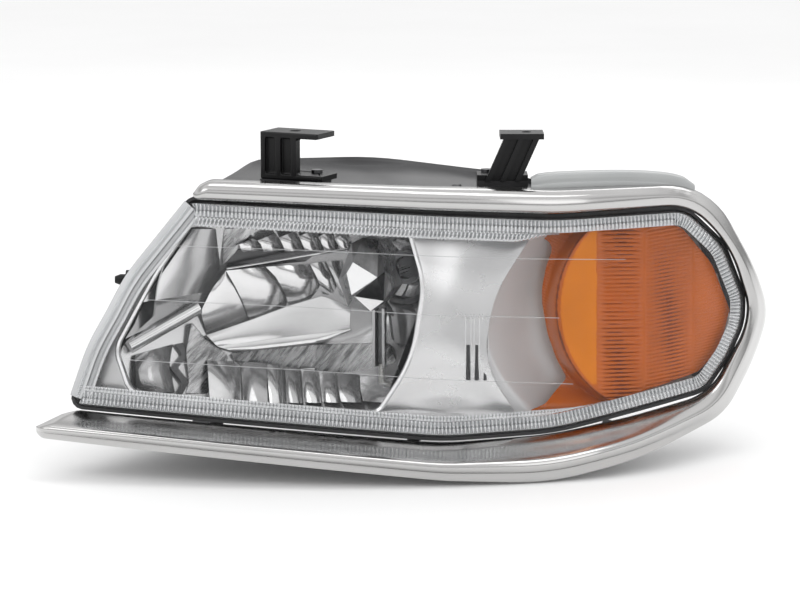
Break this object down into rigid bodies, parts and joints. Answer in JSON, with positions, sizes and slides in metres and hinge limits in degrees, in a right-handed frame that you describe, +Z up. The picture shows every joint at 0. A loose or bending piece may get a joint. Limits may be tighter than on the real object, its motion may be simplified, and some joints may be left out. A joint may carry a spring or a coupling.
{
  "type": "car headlight assembly",
  "caption": "Left car headlamp with clear lens, chrome surround, amber turn pocket, aimable reflector, top brackets, aiming screws and twist-out rear sockets.",
  "frame": {"origin": "centre of the bolt hole in the outer top bracket, at mid thickness of its flange", "axes": "+X outboard, towards the vehicle's left side; +Y rearward; +Z up; the lens faces about -Y, turned 26 degrees outboard"},
  "size_m": [0.4173, 0.3617, 0.2371],
  "materials": {
    "housing_plastic": "satin moulded, fine grain",
    "clear_plastic": "polished clear polycarbonate with a hard coat",
    "seal_rubber": "matt",
    "bright_trim": "polished",
    "metallised": "vacuum metallised mirror",
    "bezel_silver": "vacuum metallised, soft",
    "pocket_silver": "vacuum metallised, satin",
    "amber_plastic": "polished, deep amber",
    "flange_grey": "satin",
    "bracket_black": "satin, glass filled",
    "zinc_steel": "zinc plated",
    "dark_steel": "phosphated",
    "natural_nylon": "satin",
    "nickel": "nickel plated",
    "bulb_clear": "polished quartz",
    "bulb_amber": "polished amber glass",
    "tungsten": "drawn wire",
    "contact_brass": "tinned brass",
    "socket_grey": "satin",
    "cap_black": "satin moulded"
  },
  "bodies": {
    "housing": {"housing": "housing_plastic", "lens": "clear_plastic", "lens_seal": "seal_rubber", "chrome_trim": "bright_trim", "trim_clips": "dark_steel", "fender_flange": "flange_grey", "bezel": "bezel_silver", "bezel_screws": "dark_steel", "turn_reflector": "pocket_silver", "amber_lens": "amber_plastic", "inner_bracket": "bracket_black", "outer_bracket": "bracket_black", "bracket_screws": "dark_steel", "mounting_studs": "zinc_steel", "side_peg": "bracket_black", "pivot_stud": "zinc_steel", "aim_bushings": "natural_nylon", "vent_elbows": "seal_rubber", "wiring_header": "cap_black", "header_pins": "contact_brass"},
    "aim_socket": {"pivot_socket": "natural_nylon"},
    "reflector": {"main_reflector": "metallised", "bulb_shield": "nickel", "shield_rivet": "zinc_steel", "bulb_glass": "bulb_clear", "bulb_base": "nickel", "bulb_filaments": "tungsten", "bulb_terminals": "contact_brass"},
    "bulb_clip": {"bulb_clip": "zinc_steel"},
    "vertical_screw": {"vertical_aim_screw": "zinc_steel"},
    "vertical_nut": {"vertical_aim_nut": "natural_nylon"},
    "side_screw": {"side_aim_screw": "zinc_steel"},
    "side_nut": {"side_aim_nut": "natural_nylon"},
    "rear_cap": {"rear_cap": "cap_black", "rear_cap_seal": "seal_rubber"},
    "turn_plug": {"turn_socket": "socket_grey", "turn_socket_seal": "seal_rubber", "turn_bulb": "bulb_amber"},
    "marker_plug": {"marker_socket": "socket_grey", "marker_socket_seal": "seal_rubber", "marker_bulb": "bulb_amber"}
  },
  "joints": [
    {"name": "vertical_aim", "type": "hinge", "parent": "housing", "child": "aim_socket", "pos_m": [-0.2, -0.046, -0.062], "axis": [0.9662, 0.2577, 0], "range_deg": [-2.5, 2.5]},
    {"name": "horizontal_aim", "type": "hinge", "parent": "aim_socket", "child": "reflector", "pos_m": [-0.2, -0.046, -0.062], "axis": [0, 0, 1], "range_deg": [-2, 2]},
    {"name": "clip_swing", "type": "hinge", "parent": "reflector", "child": "bulb_clip", "pos_m": [-0.061, 0.0031, -0.101], "axis": [0, 0, -1], "range_deg": [0, 40]},
    {"name": "vertical_nut_slide", "type": "slide", "parent": "housing", "child": "vertical_nut", "axis": [0, 1, 0], "range_m": [-0.0038, 0.0038]},
    {"name": "vertical_screw_turn", "type": "hinge", "parent": "housing", "child": "vertical_screw", "pos_m": [-0.2, -0.046, -0.148], "axis": [0, -1, 0], "range_deg": [-1060, 1060]},
    {"name": "side_nut_slide", "type": "slide", "parent": "housing", "child": "side_nut", "axis": [0, 1, 0], "range_m": [-0.0054, 0.0054]},
    {"name": "side_screw_turn", "type": "hinge", "parent": "housing", "child": "side_screw", "pos_m": [-0.05, -0.006, -0.062], "axis": [0, -1, 0], "range_deg": [-1520, 1520]},
    {"name": "rear_cap_twist", "type": "hinge", "parent": "housing", "child": "rear_cap", "pos_m": [-0.091, 0.048, -0.101], "axis": [0, 1, 0], "range_deg": [0, 45]},
    {"name": "turn_socket_twist", "type": "hinge", "parent": "housing", "child": "turn_plug", "pos_m": [0.03703, 0.06154, -0.13212], "axis": [-0.4341, 0.89, -0.1392], "range_deg": [0, 45]},
    {"name": "marker_socket_twist", "type": "hinge", "parent": "housing", "child": "marker_plug", "pos_m": [0.0808, 0.09954, -0.13826], "axis": [-0.4341, 0.89, -0.1392], "range_deg": [0, 45]}
  ],
  "couplings": [
    {"joint": "vertical_nut_slide", "follows": "vertical_aim", "m_per_rad": 0.083096},
    {"joint": "vertical_screw_turn", "follows": "vertical_aim", "ratio": 417.69},
    {"joint": "side_nut_slide", "follows": "horizontal_aim", "m_per_rad": 0.15},
    {"joint": "side_screw_turn", "follows": "horizontal_aim", "ratio": 753.98}
  ]
}
